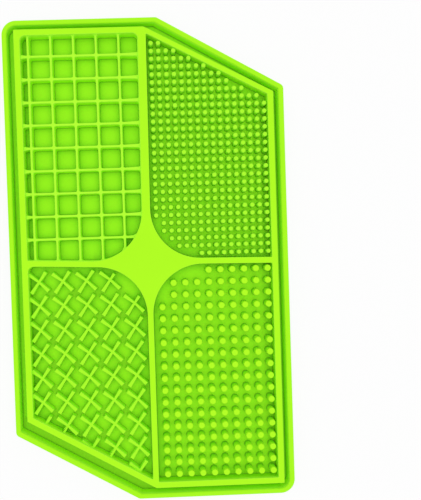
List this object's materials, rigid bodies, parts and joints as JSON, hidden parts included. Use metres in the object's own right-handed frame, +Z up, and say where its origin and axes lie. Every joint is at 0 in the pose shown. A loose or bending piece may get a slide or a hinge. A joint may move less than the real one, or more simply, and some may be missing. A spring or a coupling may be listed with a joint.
{
  "type": "pet lick pad",
  "caption": "Flat angular silicone lick pad for pets: shallow tray with rim, drip channel and fields of grid ribs, pegs and crosses around a raised star; suction cups underneath.",
  "frame": {"origin": "under the middle of the tray, on the surface that the suction cups stand on", "axes": "+Z up, +Y along the tray towards the square grid and the fine pegs, +X to the right seen from above"},
  "size_m": [0.147, 0.254, 0.0106],
  "materials": {
    "silicone": "satin lime-green silicone"
  },
  "bodies": {
    "root": {"base_sheet": "silicone", "outer_rim": "silicone", "inner_frame": "silicone", "upper_divider": "silicone", "lower_divider": "silicone", "left_divider": "silicone", "right_divider": "silicone", "centre_star": "silicone", "grid_long_ribs": "silicone", "grid_cross_ribs": "silicone", "fine_nubs": "silicone", "cross_ribs": "silicone", "coarse_nubs": "silicone", "suction_cups": "silicone"}
  },
  "joints": []
}
